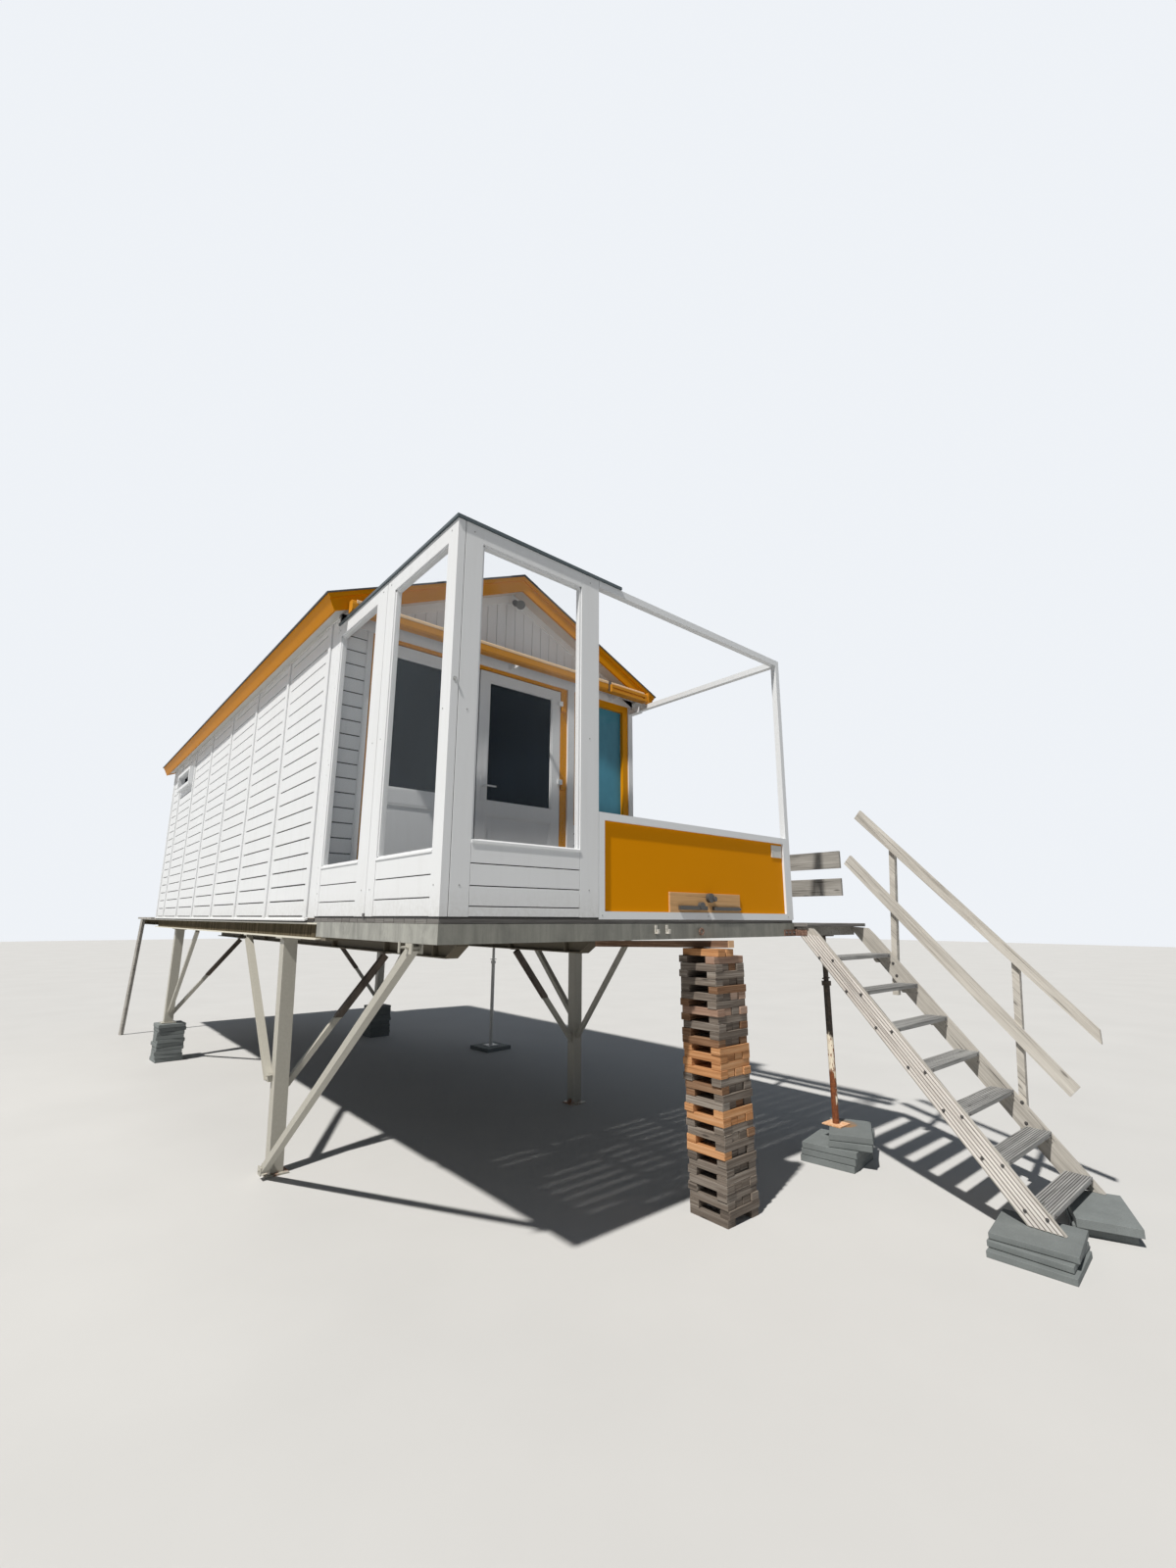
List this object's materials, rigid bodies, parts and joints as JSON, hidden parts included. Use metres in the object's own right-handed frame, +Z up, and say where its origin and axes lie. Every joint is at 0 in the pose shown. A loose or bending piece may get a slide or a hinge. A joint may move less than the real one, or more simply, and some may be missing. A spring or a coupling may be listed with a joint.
{
  "type": "raised site cabin",
  "caption": "Timber site cabin on steel legs with pitched roof, glazed veranda, double doors, side walkway and open stair.",
  "frame": {"origin": "centre of the plan's bounding box, on the ground", "axes": "+X to the right of someone who looks at the veranda, +Y from the veranda to the rear, +Z up"},
  "size_m": [4.1562, 11.9142, 4.785],
  "materials": {
    "beige_steel": "worn satin paint with rust at the joints",
    "cream_steel": "worn satin paint with rust at the feet",
    "galvanised_trim": "dull zinc with vertical run stains",
    "grey_planks": "weathered, silver grey, matt",
    "grooved_planks": "weathered grooved decking, matt",
    "crib_blocks": "rough sawn, mixed grey, brown and orange blocks",
    "floor_boards": "plain sheet, matt",
    "white_boards": "white painted boards, satin",
    "white_paint": "white painted joinery, satin",
    "white_metal": "white paint, satin",
    "ochre_paint": "ochre yellow paint, satin",
    "ochre_metal": "ochre yellow paint, satin",
    "ochre_panel": "ochre yellow sheet, satin",
    "glazing": "clear window glass",
    "clear_glazing": "clear sheet glass",
    "roof_panel": "boarded roof panel, painted",
    "roofing_felt": "dark mineral felt, matt",
    "dark_capping": "dark grey sheet, satin",
    "dark_fittings": "dark worn iron",
    "lamp_metal": "dark grey paint",
    "rusty_steel": "rusted tube with paint remains",
    "concrete_slabs": "grey concrete paving slabs, matt"
  },
  "bodies": {
    "building": {"side_beams": "cream_steel", "cross_members": "beige_steel", "girders": "beige_steel", "trim_fittings": "rusty_steel", "veranda_frame": "galvanised_trim", "rear_platform": "grey_planks", "leg_front_left": "cream_steel", "leg_front_right": "cream_steel", "leg_rear_left": "cream_steel", "leg_rear_right": "cream_steel", "rear_slabs": "concrete_slabs", "crib_stack": "crib_blocks", "crib_beam": "crib_blocks", "cabin_floor": "floor_boards", "wall_left": "white_boards", "wall_right": "white_boards", "wall_rear": "white_boards", "front_wall_left": "white_boards", "front_wall_right": "white_boards", "front_gable": "white_boards", "door_frame": "ochre_paint", "front_window_frame": "ochre_paint", "front_window_glass": "glazing", "side_window_frame": "white_paint", "side_window_glass": "glazing", "roof_panels": "roof_panel", "roofing": "roofing_felt", "roof_edge_boards": "ochre_paint", "eave_soffits": "white_paint", "awning": "ochre_metal", "gable_lamp": "lamp_metal", "veranda_floor": "grey_planks", "veranda_panels": "white_paint", "veranda_glass": "clear_glazing", "capping": "dark_capping", "balustrade_frame": "white_metal", "balustrade_panel": "ochre_panel", "balustrade_latch": "dark_fittings", "veranda_tubes": "white_metal", "walkway_deck": "grey_planks", "walkway_beams": "grey_planks", "walkway_guard": "grey_planks", "prop_front": "rusty_steel", "prop_rear": "galvanised_trim", "prop_slabs": "concrete_slabs", "stair_stringers": "grooved_planks", "stair_treads": "grooved_planks", "stair_handrail": "grey_planks", "stair_slabs": "concrete_slabs"},
    "left_leaf": {"door_left": "white_paint", "door_glass_left": "glazing"},
    "right_leaf": {"door_right": "white_paint", "door_glass_right": "glazing"}
  },
  "joints": [
    {"name": "left_door_hinge", "type": "hinge", "parent": "building", "child": "left_leaf", "pos_m": [-1.587, -2.454, 1.775], "axis": [0, 0, -1], "range_deg": [0, 95]},
    {"name": "right_door_hinge", "type": "hinge", "parent": "building", "child": "right_leaf", "pos_m": [0.179, -2.454, 1.775], "axis": [0, 0, 1], "range_deg": [0, 95]}
  ]
}
